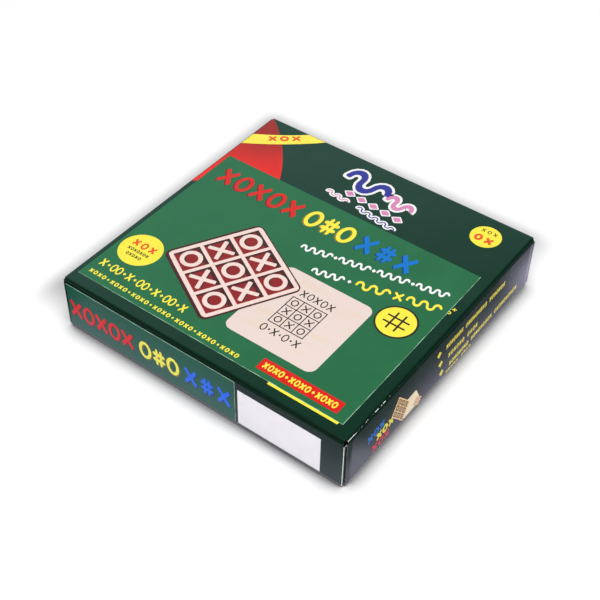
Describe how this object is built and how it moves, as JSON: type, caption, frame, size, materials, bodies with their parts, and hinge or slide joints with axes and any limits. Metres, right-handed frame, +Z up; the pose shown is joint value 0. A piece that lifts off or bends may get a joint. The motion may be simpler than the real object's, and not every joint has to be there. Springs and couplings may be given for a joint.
{
  "type": "tic-tac-toe board in a folding carton",
  "caption": "Flat square tuck-end paperboard carton that holds a wooden tic-tac-toe set: base board, grid frame, nought and cross pieces, and a flat lid.",
  "frame": {"origin": "middle of the carton's underside", "axes": "+Z up through the top panel, front panel at -Y, opening ends at -X and +X"},
  "size_m": [0.16, 0.1589, 0.0301],
  "materials": {
    "printed_paperboard": "gloss-laminated print, dark green outside, pale grey inside",
    "printed_paper": "gloss print, mid green",
    "white_paper": "plain matt white",
    "stained_fibreboard": "maroon stain, satin",
    "sanded_wood": "sanded, pale cream",
    "pale_plywood": "sanded, engraved"
  },
  "bodies": {
    "carton": {"top_panel": "printed_paperboard", "front_panel": "printed_paperboard", "bottom_panel": "printed_paperboard", "back_panel": "printed_paperboard", "glue_flap": "printed_paperboard", "top_label": "printed_paper", "title_label": "printed_paper", "stock_label": "white_paper", "base_board": "stained_fibreboard", "grid_frame": "sanded_wood", "wooden_lid": "pale_plywood", "nought_1": "sanded_wood", "nought_2": "sanded_wood", "nought_3": "sanded_wood", "nought_4": "sanded_wood", "nought_5": "sanded_wood", "cross_1": "sanded_wood", "cross_2": "sanded_wood", "cross_3": "sanded_wood", "cross_4": "sanded_wood"},
    "right_end": {"right_end_panel": "printed_paperboard"},
    "right_tuck": {"right_tuck_flap": "printed_paperboard"},
    "right_front_dust": {"right_front_dust_flap": "printed_paperboard"},
    "right_back_dust": {"right_back_dust_flap": "printed_paperboard"},
    "left_end": {"left_end_panel": "printed_paperboard"},
    "left_tuck": {"left_tuck_flap": "printed_paperboard"},
    "left_front_dust": {"left_front_dust_flap": "printed_paperboard"},
    "left_back_dust": {"left_back_dust_flap": "printed_paperboard"}
  },
  "joints": [
    {"name": "right_end_open", "type": "hinge", "parent": "carton", "child": "right_end", "pos_m": [0.08, 0, 0.028], "axis": [0, -1, 0], "range_deg": [0, 180]},
    {"name": "right_tuck_relax", "type": "hinge", "parent": "right_end", "child": "right_tuck", "pos_m": [0.079, 0, 0.0007], "axis": [0, -1, 0], "range_deg": [0, 54]},
    {"name": "right_front_dust_swing", "type": "hinge", "parent": "carton", "child": "right_front_dust", "pos_m": [0.07925, -0.07865, 0.015], "axis": [0, 0, -1], "range_deg": [0, 90]},
    {"name": "right_back_dust_swing", "type": "hinge", "parent": "carton", "child": "right_back_dust", "pos_m": [0.07925, 0.07865, 0.015], "axis": [0, 0, 1], "range_deg": [0, 90]},
    {"name": "left_end_open", "type": "hinge", "parent": "carton", "child": "left_end", "pos_m": [-0.08, 0, 0.028], "axis": [0, 1, 0], "range_deg": [0, 180]},
    {"name": "left_tuck_relax", "type": "hinge", "parent": "left_end", "child": "left_tuck", "pos_m": [-0.079, 0, 0.0007], "axis": [0, 1, 0], "range_deg": [0, 54]},
    {"name": "left_front_dust_swing", "type": "hinge", "parent": "carton", "child": "left_front_dust", "pos_m": [-0.07925, -0.07865, 0.015], "axis": [0, 0, 1], "range_deg": [0, 90]},
    {"name": "left_back_dust_swing", "type": "hinge", "parent": "carton", "child": "left_back_dust", "pos_m": [-0.07925, 0.07865, 0.015], "axis": [0, 0, -1], "range_deg": [0, 90]}
  ],
  "couplings": [
    {"joint": "right_tuck_relax", "follows": "right_end_open", "ratio": 0.3},
    {"joint": "right_front_dust_swing", "follows": "right_end_open", "ratio": 0.5},
    {"joint": "right_back_dust_swing", "follows": "right_end_open", "ratio": 0.5},
    {"joint": "left_tuck_relax", "follows": "left_end_open", "ratio": 0.3},
    {"joint": "left_front_dust_swing", "follows": "left_end_open", "ratio": 0.5},
    {"joint": "left_back_dust_swing", "follows": "left_end_open", "ratio": 0.5}
  ]
}
